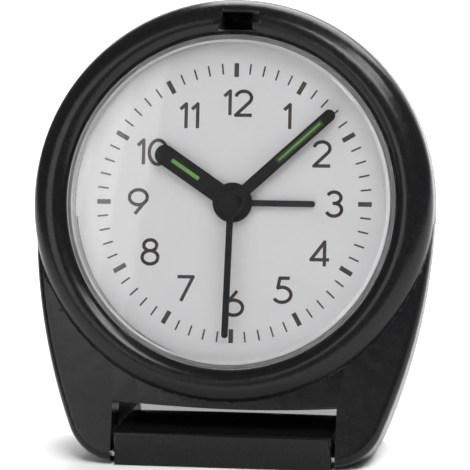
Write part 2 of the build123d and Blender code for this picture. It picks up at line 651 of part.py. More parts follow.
contact_thickness = 0.4
with BuildPart() as plus_contact:
    block(tray_half_width - contact_thickness / 2, -cell_drop, cell_level - 4.0, cell_level + 4.0,
          contact_thickness, 7.0)
    along_cell(cell_length / 2 + 0.05, tray_half_width - contact_thickness, 1.2)
keep(plus_contact, "plus_contact")

with BuildPart() as minus_contact:
    block(-tray_half_width + contact_thickness / 2, -cell_drop, cell_level - 4.0, cell_level + 4.0,
          contact_thickness, 7.0)
    spring_length = tray_half_width - contact_thickness - cell_length / 2 - 0.05
    for turn, radius in enumerate((3.2, 2.4, 1.6)):
        start = -tray_half_width + contact_thickness + turn * spring_length / 3
        along_cell(start, start + spring_length / 3, radius)
keep(minus_contact, "minus_contact")

with BuildPart() as battery_door:
    block(0, -cell_drop, back_level, back_level + door_thickness, 2 * (door_half_width - door_clearance),
          2 * (door_half_height - door_clearance), corner=0.9)
    for rib in range(4):
        block(0, -cell_drop - 3.0 + 2.0 * rib, back_level - 0.4, back_level, 14.0, 0.8)
keep(battery_door, "battery_door")

# ---- hinge pins and cover ---------------------------------------------------------------
bar_half_width = bay_half_width - cover_end_gap


def across(x_start, x_end, radius, mode=Mode.ADD):
    """A round length of the current part along the hinge axis."""
    with BuildSketch(Plane(origin=(x_start, 0, hinge_height), x_dir=(0, 1, 0), z_dir=(1, 0, 0))) as circle:
        Circle(radius)
    extrude(circle.sketch, amount=x_end - x_start, mode=mode)


with BuildPart() as hinge_pins:
    across(bar_half_width - pin_reach, bay_half_width + pin_grip, pin_radius)
    across(-bay_half_width - pin_grip, -bar_half_width + pin_reach, pin_radius)
keep(hinge_pins, "hinge_pins")

with BuildPart() as stand_cover:
    # the bar between the ears, which is the front foot
    with BuildSketch(Plane(origin=(-bar_half_width, 0, 0), x_dir=(0, 1, 0), z_dir=(1, 0, 0))) as bar_side:
        with Locations(((bar_front + bar_back) / 2, bar_height / 2)):
            Rectangle(bar_back - bar_front, bar_height)
    extrude(bar_side.sketch, amount=2 * bar_half_width)
    bar_face = stand_cover.faces().sort_by(Axis.Y)[0]
    fillet(bar_face.edges(), bar_edge)
    # the flat cover, level with the top of the bar
    with BuildSketch(Plane.XY.offset(bar_height - cover_thickness)) as plate:
        with BuildLine():
            neck = Line((0, bar_back / 2), (bar_half_width, bar_back / 2))
            straight = Line(neck @ 1, (bar_half_width, cover_flare_start))
            flare = Spline(straight @ 1, (cover_half_width, cover_flare_end), tangents=((0, 1), (0, 1)))
            Line(flare @ 1, (cover_half_width, cover_round_start))
            EllipticalCenterArc((0, cover_round_start), cover_half_width, cover_length - cover_round_start, 0,
                                arc_size=90)
            mirror(about=Plane.YZ)
        make_face()
    extrude(plate.sketch, amount=cover_thickness)
    # the hook that snaps into the latch slot when the cover is closed, and is the rear foot
    with BuildSketch(Plane.XY) as hook:
        with Locations((latch_x, hinge_drop + latch_y + 0.5)):
            Rectangle(hook_width, hook_thickness)
    extrude(hook.sketch, amount=bar_height - cover_thickness)
    across(bar_half_width - pin_reach - 0.2, bar_half_width, pin_radius + running, Mode.SUBTRACT)
    across(-bar_half_width, -bar_half_width + pin_reach + 0.2, pin_radius + running, Mode.SUBTRACT)
keep(stand_cover, "stand_cover")
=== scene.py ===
"""Looks of the folding travel alarm clock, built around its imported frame."""

import json
from functools import partial
from math import cos, pi, radians, sin

import bmesh
import bpy
from bpy.props import FloatProperty, FloatVectorProperty, IntProperty, PointerProperty
from mathutils import Matrix, Vector

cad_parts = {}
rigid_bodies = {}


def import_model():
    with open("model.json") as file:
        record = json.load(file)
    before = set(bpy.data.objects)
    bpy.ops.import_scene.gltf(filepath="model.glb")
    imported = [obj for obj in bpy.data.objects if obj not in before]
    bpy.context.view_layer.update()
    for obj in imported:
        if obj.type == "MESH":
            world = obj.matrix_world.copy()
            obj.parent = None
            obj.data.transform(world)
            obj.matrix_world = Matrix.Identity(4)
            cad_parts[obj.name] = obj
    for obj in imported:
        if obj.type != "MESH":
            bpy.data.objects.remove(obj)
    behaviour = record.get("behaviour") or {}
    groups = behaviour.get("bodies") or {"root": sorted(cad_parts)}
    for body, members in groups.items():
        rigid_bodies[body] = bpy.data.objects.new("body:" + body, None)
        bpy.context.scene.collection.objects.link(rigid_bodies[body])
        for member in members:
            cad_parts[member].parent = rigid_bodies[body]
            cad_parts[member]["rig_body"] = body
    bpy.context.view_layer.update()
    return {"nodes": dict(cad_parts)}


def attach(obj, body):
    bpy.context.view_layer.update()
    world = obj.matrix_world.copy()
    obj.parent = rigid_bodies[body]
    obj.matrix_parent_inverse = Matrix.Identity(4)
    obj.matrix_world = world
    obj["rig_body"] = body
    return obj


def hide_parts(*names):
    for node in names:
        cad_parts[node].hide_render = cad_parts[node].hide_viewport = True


bl_info = {
    "name": "Folding travel alarm clock",
    "version": (1, 0, 0),
    "blender": (4, 5, 0),
    "location": "View3D > Sidebar > Clock",
    "description": "Dresses the frame of a travel alarm clock with its dial print, lens and finishes",
    "category": "Object",
}

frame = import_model()
NODES = frame["nodes"]

MM = 0.001
LEAN = radians(15.4)
MERGE_DISTANCE = 0.002 * MM
SLIVER_LENGTH = 0.001 * MM
MADE_MERGE_DISTANCE = 0.0001 * MM
MADE_SMOOTH_ANGLE = radians(35)
LENS_SMOOTH_ANGLE = radians(15)
NODE_SMOOTH_ANGLE = radians(28)
ROUNDED_EDGE_ANGLE = radians(40)
STRAIGHT_ANGLE = radians(5)
DUST_COLOUR = (0.10, 0.10, 0.10)
HOURS = 12
HOUR_STEP = 2 * pi / HOURS
ACROSS = Vector((1, 0, 0))
DIAL_UP = Vector((0, sin(LEAN), cos(LEAN)))
DIAL_OUT = Vector((0, -cos(LEAN), sin(LEAN)))
HINGE_HEIGHT, HINGE_DROP, HINGE_LEVEL = 1.9 * MM, 45.5 * MM, 2.6 * MM
DIAL_CENTRE = Vector((0, 0, HINGE_HEIGHT)) + DIAL_UP * HINGE_DROP - DIAL_OUT * HINGE_LEVEL
DIAL_FRAME = Matrix((
    (ACROSS.x, DIAL_UP.x, DIAL_OUT.x, DIAL_CENTRE.x),
    (ACROSS.y, DIAL_UP.y, DIAL_OUT.y, DIAL_CENTRE.y),
    (ACROSS.z, DIAL_UP.z, DIAL_OUT.z, DIAL_CENTRE.z),
    (0, 0, 0, 1),
))


# ---- shader expressions -----------------------------------------------------------------
class Wire:
    """An output socket that takes part in Python arithmetic."""

    def __init__(self, finish, socket):
        self.finish = finish
        self.socket = socket

    def _with(self, operation, first, second):
        return self.finish.add("ShaderNodeMath", {"operation": operation}, {0: first, 1: second})

    def __add__(self, other):
        return self._with("ADD", self, other)

    def __sub__(self, other):
        return self._with("SUBTRACT", self, other)

    def __rsub__(self, other):
        return self._with("SUBTRACT", other, self)

    def __mul__(self, other):
        return self._with("MULTIPLY", self, other)

    def above(self, limit):
        return self._with("GREATER_THAN", self, limit)


class Finish:
    """A material and the nodes that make it."""

    def __init__(self, name):
        self.material = bpy.data.materials.new(name)
        self.material.use_nodes = True
        self.tree = self.material.node_tree
        self.tree.nodes.clear()

    def add(self, kind, settings=None, inputs=None, output=0):
        """Adds a node, sets it, feeds it and gives back one of its outputs."""
        node = self.tree.nodes.new(kind)
        for key, value in (settings or {}).items():
            setattr(node, key, value)
        for key, value in (inputs or {}).items():
            if isinstance(value, Wire):
                self.tree.links.new(value.socket, node.inputs[key])
            else:
                node.inputs[key].default_value = value
        return Wire(self, node.outputs[output]) if node.outputs else node

    def place(self, stretch=(1, 1, 1), turn=(0, 0, 0)):
        """Object coordinates, stretched by a factor along each axis."""
        here = self.add("ShaderNodeTexCoord", output=3)
        return self.add("ShaderNodeMapping", None, {"Vector": here, "Scale": stretch, "Rotation": turn})

    def noise(self, grain, detail=3.0, where=None):
        """Noise whose features are about a given size in metres."""
        where = where or self.place()
        return self.add("ShaderNodeTexNoise", None, {"Vector": where, "Scale": 1 / grain, "Detail": detail})

    def colours(self, mask, low, high):
        """A colour between two, by a mask."""
        return self.layer(mask, (*low, 1), high)

    def layer(self, mask, under, over):
        """A flat colour laid over a changing one."""
        return self.add("ShaderNodeMix", {"data_type": "RGBA"}, {0: mask, 6: under, 7: (*over, 1)}, output=2)

    def relief(self, height, depth, strength):
        """A normal that leans as if the surface had this height."""
        return self.add("ShaderNodeBump", None, {"Height": height, "Distance": depth, "Strength": strength})

    def surface(self, **inputs):
        """Closes the material with one Principled shader."""
        named = {key.replace("_", " "): value for key, value in inputs.items()}
        shader = self.add("ShaderNodeBsdfPrincipled", None, named)
        self.add("ShaderNodeOutputMaterial", None, {"Surface": shader})
        return self.material


def moulded_gloss(name, colour, roughness, mottle=0.5, sheen=0.24):
    """Glossy moulded plastic with soft mottling, hairline scratches and a little dust."""
    finish = Finish(name)
    cloud = finish.noise(2.2 * MM, 4.0)
    hair = finish.noise(0.5 * MM, 2.0, finish.place((1, 0.06, 0.9), (0.2, 0.5, 0.7)))
    other_hair = finish.noise(0.5 * MM, 2.0, finish.place((0.05, 1, 0.9), (0.7, 0.1, 0.3)))
    dust = finish.noise(0.16 * MM, 1.0).above(0.74)
    lighter = tuple(value * (1 + mottle) + 0.001 for value in colour)
    tint = finish.layer(dust * 0.5, finish.colours(cloud, colour, lighter), DUST_COLOUR)
    wear = (hair - 0.5) * 0.10 + (other_hair - 0.5) * 0.08
    height = cloud * 0.25 + hair * 0.12 + other_hair * 0.12
    return finish.surface(
        Base_Color=tint,
        Roughness=(cloud - 0.5) * 0.12 + wear + dust * 0.3 + roughness,
        Normal=finish.relief(height, 0.005 * MM, 0.3),
        IOR=1.50,
        Specular_IOR_Level=sheen,
    )


def moulded_satin(name, colour, roughness):
    """Spark-eroded satin plastic with a fine even grain."""
    finish = Finish(name)
    fine = finish.noise(0.25 * MM, 3.0)
    broad = finish.noise(6 * MM, 2.0)
    darker = tuple(value * 0.75 for value in colour)
    lighter = tuple(value * 1.2 + 0.002 for value in colour)
    return finish.surface(
        Base_Color=finish.colours(fine * 0.6 + broad * 0.4, darker, lighter),
        Roughness=(broad - 0.5) * 0.15 + (fine - 0.5) * 0.1 + roughness,
        Normal=finish.relief(fine, 0.02 * MM, 0.6),
        IOR=1.49,
    )


def worked_metal(name, colour, roughness, metallic=1.0):
    """Rolled or turned metal with drawn lines."""
    finish = Finish(name)
    lines = finish.noise(0.12 * MM, 3.0, finish.place((1, 0.04, 1)))
    stain = finish.noise(3 * MM, 3.0)
    darker = tuple(value * 0.7 for value in colour)
    return finish.surface(
        Base_Color=finish.colours(stain * 0.5 + lines * 0.5, darker, colour),
        Roughness=(lines - 0.5) * 0.2 + (stain - 0.5) * 0.1 + roughness,
        Metallic=metallic,
        Normal=finish.relief(lines, 0.008 * MM, 0.4),
    )


def dial_card(colour):
    """Silver-white lacquered card with a very fine tooth."""
    finish = Finish("dial_card")
    tooth = finish.noise(0.14 * MM, 2.0)
    broad = finish.noise(9 * MM, 2.0)
    shade = tuple(value * 0.93 for value in colour)
    return finish.surface(
        Base_Color=finish.colours(tooth * 0.5 + broad * 0.5, shade, colour),
        Roughness=(tooth - 0.5) * 0.2 + 0.5,
        Normal=finish.relief(tooth, 0.006 * MM, 0.5),
        IOR=1.45,
    )


def printing_ink(colour):
    """Screen-printed ink with a slightly uneven film."""
    finish = Finish("printing_ink")
    film = finish.noise(0.2 * MM, 3.0)
    lighter = tuple(value * 1.5 + 0.004 for value in colour)
    return finish.surface(
        Base_Color=finish.colours(film, colour, lighter),
        Roughness=(film - 0.5) * 0.2 + 0.5,
        Normal=finish.relief(film, 0.004 * MM, 0.5),
    )


def luminous_paint(name, colour):
    """Grainy luminous paint."""
    finish = Finish(name)
    grain = finish.noise(0.1 * MM, 2.0)
    darker = tuple(value * 0.7 for value in colour)
    return finish.surface(
        Base_Color=finish.colours(grain, darker, colour),
        Roughness=(grain - 0.5) * 0.2 + 0.55,
        Normal=finish.relief(grain, 0.02 * MM, 0.6),
    )


def clear_acrylic():
    """Clear moulded acrylic with faint handling marks."""
    finish = Finish("clear_acrylic")
    smear = finish.noise(7 * MM, 3.0)
    hair = finish.noise(0.4 * MM, 2.0, finish.place((1, 0.05, 0.6), (0.3, 0.2, 0.9)))
    return finish.surface(
        Base_Color=(1, 1, 1, 1),
        Roughness=(smear - 0.4) * 0.03 + (hair - 0.5) * 0.02 + 0.015,
        Normal=finish.relief(smear, 0.01 * MM, 0.3),
        Transmission_Weight=1.0,
        IOR=1.49,
    )


def wound_wire(colour):
    """Fine enamelled wire, wound around the coil's axis."""
    finish = Finish("wound_wire")
    turns = finish.add("ShaderNodeTexWave", {"bands_direction": "X"},
                       {"Vector": finish.place(), "Scale": 1 / (1.2 * MM), "Distortion": 0.6})
    darker = tuple(value * 0.45 for value in colour)
    return finish.surface(
        Base_Color=finish.colours(turns, darker, colour),
        Roughness=(turns - 0.5) * 0.1 + 0.35,
        Metallic=0.6,
        Normal=finish.relief(turns, 0.05 * MM, 0.8),
    )


def circuit_lacquer(colour):
    """Green solder resist with copper tracks showing through it."""
    finish = Finish("circuit_lacquer")
    cells = finish.add("ShaderNodeTexVoronoi", {"feature": "DISTANCE_TO_EDGE", "distance": "EUCLIDEAN"},
                       {"Vector": finish.place(), "Scale": 1 / (2.4 * MM)})
    track = 1 - cells.above(0.12)
    lighter = tuple(value * 1.9 + 0.01 for value in colour)
    return finish.surface(
        Base_Color=finish.colours(track, colour, lighter),
        Roughness=finish.noise(0.3 * MM) * 0.15 + 0.28,
        Normal=finish.relief(track, 0.03 * MM, 0.6),
    )


def floor_paper():
    """Seamless white studio paper."""
    finish = Finish("floor_paper")
    fibre = finish.noise(1.5 * MM, 2.0)
    return finish.surface(
        Base_Color=finish.colours(fibre, (0.86, 0.86, 0.86), (0.90, 0.90, 0.90)),
        Roughness=(fibre - 0.5) * 0.1 + 0.85,
        Normal=finish.relief(fibre, 0.02 * MM, 0.2),
    )


# ---- mesh work --------------------------------------------------------------------------
def wear_finish(piece, material):
    """Gives a piece one material in every slot."""
    piece.data.materials.clear()
    piece.data.materials.append(material)


def new_piece(name, mesh_maker, material, body, matrix, smooth=MADE_SMOOTH_ANGLE):
    """Makes a piece from a bmesh, puts its place in its mesh and lets it ride on a body."""
    shape = bmesh.new()
    mesh_maker(shape)
    bmesh.ops.remove_doubles(shape, verts=shape.verts, dist=MADE_MERGE_DISTANCE)
    bmesh.ops.recalc_face_normals(shape, faces=shape.faces)
    shape.transform(matrix)
    piece = piece_from(shape, name, material)
    smooth_by_angle(piece.data, smooth)
    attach(piece, body)
    return piece


def piece_from(shape, name, material):
    """Turns a bmesh into an object of one material."""
    mesh = bpy.data.meshes.new(name)
    shape.to_mesh(mesh)
    shape.free()
    piece = bpy.data.objects.new(name, mesh)
    bpy.context.scene.collection.objects.link(piece)
    wear_finish(piece, material)
    return piece


def smooth_by_angle(mesh, angle):
    """Smooth shading with hard edges where the surface turns more than an angle."""
    mesh.polygons.foreach_set("use_smooth", [True] * len(mesh.polygons))
    mesh.set_sharp_from_angle(angle=angle)


def dressed(node, material, rounding=0.0):
    """A merged and smooth copy of a frame node, its sharp edges rounded where a size is given."""
    source = NODES[node]
    shape = bmesh.new()
    shape.from_mesh(source.data)
    bmesh.ops.remove_doubles(shape, verts=shape.verts, dist=MERGE_DISTANCE)
    bmesh.ops.dissolve_degenerate(shape, edges=shape.edges, dist=SLIVER_LENGTH)
    piece = piece_from(shape, node + "_finished", material)
    smooth_by_angle(piece.data, NODE_SMOOTH_ANGLE)
    if rounding > 0:
        bevel = piece.modifiers.new("rounding", "BEVEL")
        bevel.width = rounding
        bevel.segments = 2
        bevel.limit_method = "ANGLE"
        bevel.angle_limit = ROUNDED_EDGE_ANGLE
        bake_modifiers(piece)
        smooth_by_angle(piece.data, NODE_SMOOTH_ANGLE)
    level = piece.modifiers.new("level_faces", "WEIGHTED_NORMAL")
    level.keep_sharp = True
    level.weight = 100
    bake_modifiers(piece)
    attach(piece, source["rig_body"])
    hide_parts(node)


def bake_modifiers(piece):
    """Turns a piece's live modifiers into plain mesh."""
    graph = bpy.context.evaluated_depsgraph_get()
    plain = bpy.data.meshes.new_from_object(piece.evaluated_get(graph))
    piece.modifiers.clear()
    piece.data = plain


def turned(profile, segments, shape):
    """A closed ring or disc: a profile of (radius, level) in millimetres, turned about the dial's axis."""
    profile = [(radius * MM, level * MM) for radius, level in profile]
    rings = []
    for step in range(segments):
        angle = 2 * pi * step / segments
        rings.append([shape.verts.new((radius * cos(angle), radius * sin(angle), level))
                      for radius, level in profile])
    for step in range(segments):
        here, there = rings[step], rings[(step + 1) % segments]
        for index in range(len(profile)):
            after = (index + 1) % len(profile)
            corners = [here[index], here[after], there[after], there[index]]
            if profile[index][0] == 0:
                corners.pop(3)
            if profile[after][0] == 0:
                corners.pop(2)
            if len(corners) > 2:
                shape.faces.new(corners)


def arc_points(centre, radius, start, end, steps):
    """Points on an arc, in degrees, both ends included."""
    points = []
    for step in range(steps + 1):
        angle = radians(start + (end - start) * step / steps)
        points.append((centre[0] + radius * cos(angle), centre[1] + radius * sin(angle)))
    return points


def ribbon(shape, points, width, low, high, closed=False):
    """A flat printed stroke along a line of points: a slab for each step and a round dot at each joint."""
    half = width / 2
    ends = points + points[:1] if closed else points
    for start, end in zip(ends, ends[1:]):
        along = Vector((end[0] - start[0], end[1] - start[1])).normalized()
        side = Vector((-along.y, along.x)) * half
        prism(shape, [(start[0] + side.x, start[1] + side.y), (start[0] - side.x, start[1] - side.y),
                      (end[0] - side.x, end[1] - side.y), (end[0] + side.x, end[1] + side.y)], low, high)
    for before, here, after in zip(points, points[1:], points[2:]):
        turn = Vector((here[0] - before[0], here[1] - before[1])).angle(
            Vector((after[0] - here[0], after[1] - here[1])))
        if turn > STRAIGHT_ANGLE:
            prism(shape, arc_points(here, half, 0, 340, 17), low, high)


def prism(shape, outline, low, high):
    """A straight block over an outline, between two levels."""
    bottom = [shape.verts.new((x, y, low)) for x, y in outline]
    top = [shape.verts.new((x, y, high)) for x, y in outline]
    shape.faces.new(bottom[::-1])
    shape.faces.new(top)
    for index in range(len(outline)):
        after = (index + 1) % len(outline)
        shape.faces.new((bottom[index], bottom[after], top[after], top[index]))


# ---- printed numerals: strokes in a box one unit high --------------------------------------
NUMERAL_STRETCH = 1.22
DIGIT_GAP = 0.24
RING_POINTS, RING_GAP = 20, 0.2


def digit_strokes(digit):
    """The strokes of a thin geometric numeral and the width that it takes up."""
    if digit == "1":
        return [[(0.0, 0.78), (0.2, 1.0), (0.2, 0.0)]], 0.2
    if digit == "2":
        bowl = arc_points((0.27, 0.72), 0.27, 170, -38, 14)
        return [bowl + [(0.0, 0.0), (0.56, 0.0)]], 0.56
    if digit == "3":
        upper = arc_points((0.25, 0.76), 0.235, 155, -90, 14)
        lower = arc_points((0.25, 0.27), 0.265, 90, -160, 16)
        return [upper + lower], 0.53
    if digit == "4":
        return [[(0.46, 0.0), (0.46, 1.0), (0.0, 0.27), (0.62, 0.27)]], 0.62
    if digit == "5":
        bowl = arc_points((0.24, 0.32), 0.31, 118, -150, 18)
        return [[(0.5, 1.0), (0.16, 1.0)] + bowl], 0.56
    if digit == "6":
        ring = arc_points((0.31, 0.31), 0.31, 0, 360, 28)[:-1]
        return [ring, [(0.42, 1.0), (0.05, 0.45)]], 0.62
    if digit == "7":
        return [[(0.0, 1.0), (0.54, 1.0), (0.13, 0.0)]], 0.54
    if digit == "8":
        upper = arc_points((0.28, 0.77), 0.225, 0, 360, 22)[:-1]
        lower = arc_points((0.28, 0.275), 0.275, 0, 360, 26)[:-1]
        return [upper, lower], 0.56
    if digit == "9":
        ring = arc_points((0.31, 0.69), 0.31, 0, 360, 28)[:-1]
        return [ring, [(0.20, 0.0), (0.57, 0.55)]], 0.62
    ring = [(0.31 + 0.31 * x, 0.5 + 0.5 * y) for x, y in arc_points((0, 0), 1, 0, 348, 29)]
    return [ring], 0.62


def numeral(shape, text, centre, height, stroke, low, high):
    """Draws a number around a centre."""
    parts = [digit_strokes(digit) for digit in text]
    total = sum(width * NUMERAL_STRETCH for _, width in parts) + DIGIT_GAP * (len(parts) - 1)
    scale = height - stroke
    start = centre[0] - total * scale / 2
    for strokes, width in parts:
        for line in strokes:
            placed = [(start + x * scale * NUMERAL_STRETCH, centre[1] + (y - 0.5) * scale) for x, y in line]
            ends_apart = (Vector(line[0]) - Vector(line[-1])).length
            is_ring = len(line) > RING_POINTS and ends_apart < RING_GAP
            ribbon(shape, placed, stroke, low, high, closed=is_ring)
        start += (width * NUMERAL_STRETCH + DIGIT_GAP) * scale


# ---- geometry nodes: marks around the dial ------------------------------------------------
def mark_ring_tree(material):
    """Bars around a circle, each one pointing at the centre, with every n-th bar left out."""
    tree = bpy.data.node_groups.new("mark_ring", "GeometryNodeTree")
    face = tree.interface
    face.new_socket("Geometry", in_out="INPUT", socket_type="NodeSocketGeometry")
    for name, kind in (("Count", "Int"), ("Radius", "Float"), ("Length", "Float"),
                       ("Width", "Float"), ("Height", "Float"), ("Skip", "Int")):
        face.new_socket(name, in_out="INPUT", socket_type="NodeSocket" + kind)
    face.new_socket("Geometry", in_out="OUTPUT", socket_type="NodeSocketGeometry")
    nodes, link = tree.nodes, tree.links.new
    given, result = nodes.new("NodeGroupInput"), nodes.new("NodeGroupOutput")
    circle = nodes.new("GeometryNodeMeshCircle")
    link(given.outputs["Count"], circle.inputs["Vertices"])
    link(given.outputs["Radius"], circle.inputs["Radius"])
    size = nodes.new("ShaderNodeCombineXYZ")
    link(given.outputs["Length"], size.inputs[0])
    link(given.outputs["Width"], size.inputs[1])
    link(given.outputs["Height"], size.inputs[2])
    bar = nodes.new("GeometryNodeMeshCube")
    link(size.outputs[0], bar.inputs["Size"])
    place = nodes.new("GeometryNodeInputPosition")
    outward = nodes.new("FunctionNodeAlignRotationToVector")
    outward.axis = "X"
    link(place.outputs[0], outward.inputs["Vector"])
    index, order = nodes.new("GeometryNodeInputIndex"), nodes.new("ShaderNodeMath")
    order.operation = "MODULO"
    link(index.outputs[0], order.inputs[0])
    link(given.outputs["Skip"], order.inputs[1])
    kept = nodes.new("FunctionNodeCompare")
    kept.data_type, kept.operation = "FLOAT", "GREATER_THAN"
    link(order.outputs[0], kept.inputs[0])
    kept.inputs[1].default_value = 0.5
    bars = nodes.new("GeometryNodeInstanceOnPoints")
    link(circle.outputs[0], bars.inputs["Points"])
    link(bar.outputs[0], bars.inputs["Instance"])
    link(outward.outputs[0], bars.inputs["Rotation"])
    link(kept.outputs[0], bars.inputs["Selection"])
    real, paint = nodes.new("GeometryNodeRealizeInstances"), nodes.new("GeometryNodeSetMaterial")
    paint.inputs["Material"].default_value = material
    link(bars.outputs[0], real.inputs[0])
    link(real.outputs[0], paint.inputs["Geometry"])
    link(paint.outputs[0], result.inputs[0])
    return tree


def grown(name, tree, values, matrix, body):
    """Runs a tree once and keeps its result as a plain mesh in the row frame."""
    seed = bpy.data.objects.new(name + "_seed", bpy.data.meshes.new(name + "_seed"))
    bpy.context.scene.collection.objects.link(seed)
    modifier = seed.modifiers.new("tree", "NODES")
    modifier.node_group = tree
    for item in tree.interface.items_tree:
        if item.in_out == "INPUT" and item.name in values:
            modifier[item.identifier] = values[item.name]
    bpy.context.view_layer.update()
    graph = bpy.context.evaluated_depsgraph_get()
    mesh = bpy.data.meshes.new_from_object(seed.evaluated_get(graph))
    bpy.data.objects.remove(seed)
    mesh.transform(matrix)
    mesh.name = name
    piece = bpy.data.objects.new(name, mesh)
    bpy.context.scene.collection.objects.link(piece)
    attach(piece, body)
    return piece


# ---- settings ---------------------------------------------------------------------------
class ClockSizes(bpy.types.PropertyGroup):
    """Sizes of what is printed on the dial and of the lens."""

    print_turn: FloatProperty(name="Print turn", description="How far the print is turned on the dial",
                              default=radians(0.5), subtype="ANGLE")
    mark_outer: FloatProperty(name="Mark circle", description="Outer radius of the minute marks",
                              default=25.2 * MM, unit="LENGTH")
    minute_mark_inner: FloatProperty(name="Minute mark end", description="Inner radius of a minute mark",
                                     default=23.26 * MM, unit="LENGTH")
    hour_mark_inner: FloatProperty(name="Hour mark end", description="Inner radius of an hour mark",
                                   default=22.7 * MM, unit="LENGTH")
    minute_mark_width: FloatProperty(name="Minute mark width", description="Width of a minute mark",
                                     default=0.30 * MM, unit="LENGTH")
    hour_mark_width: FloatProperty(name="Hour mark width", description="Width of an hour mark",
                                   default=0.85 * MM, unit="LENGTH")
    numeral_radius: FloatProperty(name="Numeral circle", description="Radius of the circle of numerals",
                                  default=18.0 * MM, unit="LENGTH")
    numeral_shift: FloatProperty(name="Numeral shift", description="Numerals' shift to the right",
                                 default=0.4 * MM, unit="LENGTH")
    numeral_height: FloatProperty(name="Numeral height", description="Height of a numeral",
                                  default=5.0 * MM, unit="LENGTH")
    numeral_stroke: FloatProperty(name="Numeral stroke", description="Stroke width of a numeral",
                                  default=0.62 * MM, unit="LENGTH")
    ink_film: FloatProperty(name="Ink film", description="Thickness of the printed film",
                            default=0.02 * MM, unit="LENGTH")
    segments: IntProperty(name="Segments", description="Segments of each turned piece", default=256)


class ClockColours(bpy.types.PropertyGroup):
    """Colours that a user may change."""

    case: FloatVectorProperty(name="Case", description="Front shell and cover", subtype="COLOR",
                              default=(0.0045, 0.0045, 0.0050))
    rear: FloatVectorProperty(name="Rear shell", description="Rear shell and battery door", subtype="COLOR",
                              default=(0.007, 0.007, 0.0075))
    dial: FloatVectorProperty(name="Dial", description="Dial card", subtype="COLOR",
                              default=(0.86, 0.86, 0.865))
    ink: FloatVectorProperty(name="Ink", description="Printed marks and numerals", subtype="COLOR",
                             default=(0.035, 0.026, 0.026))
    hands: FloatVectorProperty(name="Hands", description="Hour, minute and second hands", subtype="COLOR",
                               default=(0.006, 0.006, 0.007))
    glow: FloatVectorProperty(name="Luminous paint", description="Luminous line on a hand", subtype="COLOR",
                              default=(0.20, 0.46, 0.07))


# ---- operators ----------------------------------------------------------------------------
class CLOCK_OT_case(bpy.types.Operator):
    """Dress the two shells, the cover and the screws"""

    bl_idname = "clock.case"
    bl_label = "Case and cover"

    def execute(self, context):
        colours = context.scene.clock_colours
        gloss = moulded_gloss("case_gloss", tuple(colours.case), 0.22)
        cover_gloss = moulded_gloss("cover_gloss", tuple(colours.case), 0.10)
        satin = moulded_satin("rear_satin", tuple(colours.rear), 0.32)
        dressed("front_shell", gloss)
        dressed("rear_shell", satin)
        dressed("stand_cover", cover_gloss)
        dressed("battery_door", satin, rounding=0.12 * MM)
        steel = worked_metal("plated_steel", (0.55, 0.55, 0.56), 0.3)
        for node in ("case_screws", "movement_screws", "hinge_pins"):
            dressed(node, steel)
        return {"FINISHED"}


class CLOCK_OT_dial(bpy.types.Operator):
    """Print the dial: minute marks, hour marks and numerals"""

    bl_idname = "clock.dial"
    bl_label = "Dial"

    def execute(self, context):
        sizes, colours = context.scene.clock_sizes, context.scene.clock_colours
        dressed("dial", dial_card(tuple(colours.dial)))
        ink = printing_ink(tuple(colours.ink))
        printed = DIAL_FRAME @ Matrix.Rotation(sizes.print_turn, 4, "Z")
        numeral_place = printed @ Matrix.Translation((sizes.numeral_shift, 0, 0))
        minute_marks = {
            "Count": 60, "Skip": 5, "Radius": (sizes.mark_outer + sizes.minute_mark_inner) / 2,
            "Length": sizes.mark_outer - sizes.minute_mark_inner, "Width": sizes.minute_mark_width,
            "Height": 2 * sizes.ink_film,
        }
        grown("minute_marks", mark_ring_tree(ink), minute_marks, printed, "case")

        def hour_marks(shape):
            inner, outer, half = sizes.hour_mark_inner, sizes.mark_outer, sizes.hour_mark_width / 2
            corners = [(inner, -half), (outer, -half), (outer, half), (inner, half)]
            for hour in range(HOURS):
                turn = Matrix.Rotation(hour * HOUR_STEP, 2)
                prism(shape, [tuple(turn @ Vector(corner)) for corner in corners], 0, sizes.ink_film)

        new_piece("hour_marks", hour_marks, ink, "case", printed)

        def numerals(shape):
            for hour in range(1, HOURS + 1):
                angle = pi / 2 - hour * HOUR_STEP
                centre = (sizes.numeral_radius * cos(angle), sizes.numeral_radius * sin(angle))
                numeral(shape, str(hour), centre, sizes.numeral_height, sizes.numeral_stroke,
                        0, sizes.ink_film)

        new_piece("numerals", numerals, ink, "case", numeral_place)
        return {"FINISHED"}


# hand, clockwise turn in degrees, then start, end, width and level of its line in millimetres
LUMINOUS_LINES = (("minute", 47.5, 11.4, 21.4, 0.34, 2.2), ("hour", 303.3, 7.5, 13.5, 0.66, 1.5))
PAINT_FILM = 0.03 * MM


class CLOCK_OT_hands(bpy.types.Operator):
    """Dress the hands and lay their luminous lines"""

    bl_idname = "clock.hands"
    bl_label = "Hands"

    def execute(self, context):
        colours = context.scene.clock_colours
        lacquer = moulded_gloss("hand_lacquer", tuple(colours.hands), 0.5, mottle=0.2, sheen=0.14)
        grey = moulded_gloss("alarm_hand_lacquer", (0.018, 0.018, 0.020), 0.5, mottle=0.2)
        for node in ("hour_hand", "minute_hand", "second_hand"):
            dressed(node, lacquer, rounding=0.05 * MM)
        dressed("alarm_hand", grey, rounding=0.05 * MM)
        dark = luminous_paint("luminous_edge", (0.022, 0.075, 0.016))
        bright = luminous_paint("luminous_core", tuple(colours.glow))
        dressed("minute_hand_insert", dark)
        dressed("hour_hand_insert", dark)
        for hand, clockwise, start, end, width, level in LUMINOUS_LINES:
            place = DIAL_FRAME @ Matrix.Rotation(-radians(clockwise), 4, "Z")
            line = partial(paint_line, start * MM, end * MM, width * MM, level * MM)
            new_piece(hand + "_line", line, bright, hand, place)
        return {"FINISHED"}


def paint_line(start, end, width, level, shape):
    """A thin bar of paint along a hand that points straight up."""
    half = width / 2
    prism(shape, [(-half, start), (half, start), (half, end), (-half, end)], level, level + PAINT_FILM)


